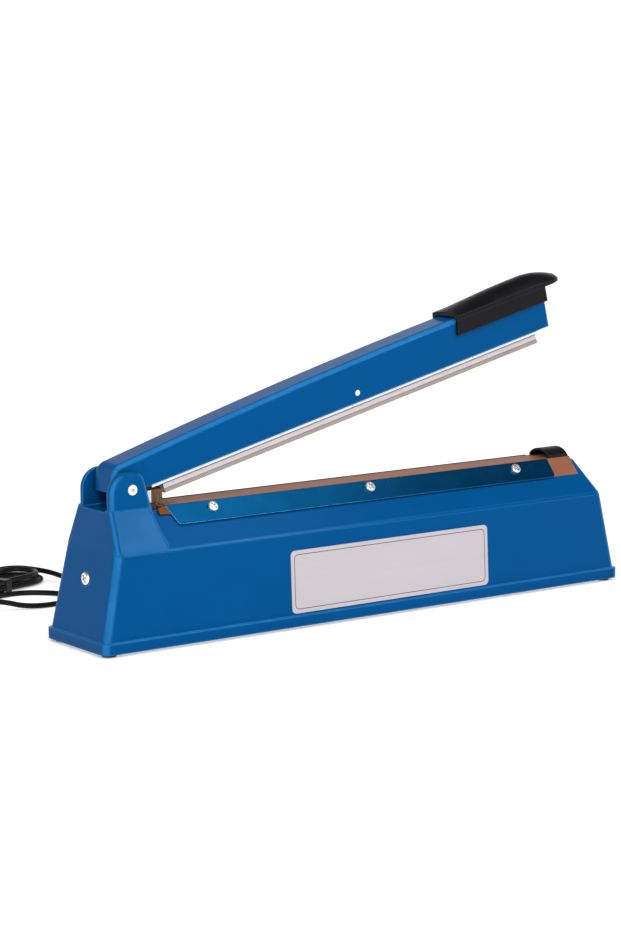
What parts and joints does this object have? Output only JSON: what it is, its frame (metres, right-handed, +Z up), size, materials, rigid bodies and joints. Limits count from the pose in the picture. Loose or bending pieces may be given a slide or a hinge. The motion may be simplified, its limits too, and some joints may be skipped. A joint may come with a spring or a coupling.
{
  "type": "impulse heat sealer",
  "caption": "Tabletop impulse heat sealer: a tapered base with a seal strip under tape and a hinged pressing arm with a thumb rest.",
  "frame": {"origin": "on the floor, under the middle of the base's footprint with its timer knob", "axes": "+X along the base from the hinge to the handle, +Y from the front with the nameplate to the back with the cord, +Z up"},
  "size_m": [0.4631, 0.2561, 0.2139],
  "materials": {
    "blue_paint": "gloss",
    "blue_plate": "gloss",
    "black_plastic": "satin",
    "black_rubber": "matte",
    "zinc_steel": "satin",
    "bright_screw": "satin",
    "aluminium": "satin",
    "nichrome": "satin",
    "insulation": "matte",
    "ptfe_cloth": "satin",
    "silicone": "matte",
    "bakelite": "satin",
    "brass": "satin",
    "switch_body": "satin",
    "circuit_board": "satin",
    "lamp_red": "gloss",
    "core_steel": "satin",
    "copper_coil": "satin",
    "cord_jacket": "satin",
    "tie_plastic": "satin"
  },
  "bodies": {
    "base": {"base_housing": "blue_paint", "bottom_plate": "zinc_steel", "bottom_plate_screws": "zinc_steel", "rubber_feet": "black_rubber", "hinge_pin": "zinc_steel", "end_screw": "zinc_steel", "sealing_bar": "aluminium", "element_insulation": "insulation", "heating_element": "nichrome", "end_blocks": "bakelite", "element_terminals": "brass", "ptfe_tape": "ptfe_cloth", "front_clamp_plate": "blue_plate", "rear_clamp_plate": "blue_plate", "front_clamp_screws": "bright_screw", "rear_clamp_screws": "bright_screw", "bar_end_cap": "black_plastic", "plunger_bracket": "zinc_steel", "return_spring": "zinc_steel", "microswitch_body": "switch_body", "timer_potentiometer": "zinc_steel", "timer_board": "circuit_board", "indicator_lamp": "lamp_red", "transformer_core": "core_steel", "transformer_coil": "copper_coil", "transformer_strap": "zinc_steel", "cord_gland": "black_rubber", "cord_lead": "cord_jacket", "cord_hank": "cord_jacket", "cord_tie": "tie_plastic", "cord_tail": "cord_jacket", "plug_body": "cord_jacket", "plug_pins": "brass"},
    "arm": {"arm_shell": "blue_paint", "pressure_bar": "aluminium", "silicone_strip": "silicone", "pressure_bar_pin": "zinc_steel", "handle_cap": "black_plastic", "handle_screw": "zinc_steel"},
    "plunger": {"return_plunger": "bakelite"},
    "knob": {"timer_knob": "black_plastic", "timer_shaft": "brass"},
    "button": {"microswitch_button": "black_plastic"}
  },
  "joints": [
    {"name": "arm_swing", "type": "hinge", "parent": "base", "child": "arm", "pos_m": [-0.1788, -0.00452, 0.1], "axis": [0, 1, 0], "range_deg": [0, 13.5], "stiffness_Nm_per_rad": 2, "springref_deg": -34.38},
    {"name": "plunger_slide", "type": "slide", "parent": "base", "child": "plunger", "axis": [0, 0, -1], "range_m": [0, 0.0046], "deforming": ["return_spring"]},
    {"name": "button_press", "type": "slide", "parent": "base", "child": "button", "axis": [0, 0, -1], "range_m": [0, 0.00125]},
    {"name": "timer_turn", "type": "hinge", "parent": "base", "child": "knob", "pos_m": [0.11, 0.0274, 0.038], "axis": [0, 0.9986, 0.0528], "range_deg": [-150, 150]}
  ],
  "couplings": [
    {"joint": "plunger_slide", "follows": "arm_swing", "m_per_rad": 0.019213},
    {"joint": "button_press", "follows": "arm_swing", "m_per_rad": 0.0051}
  ]
}
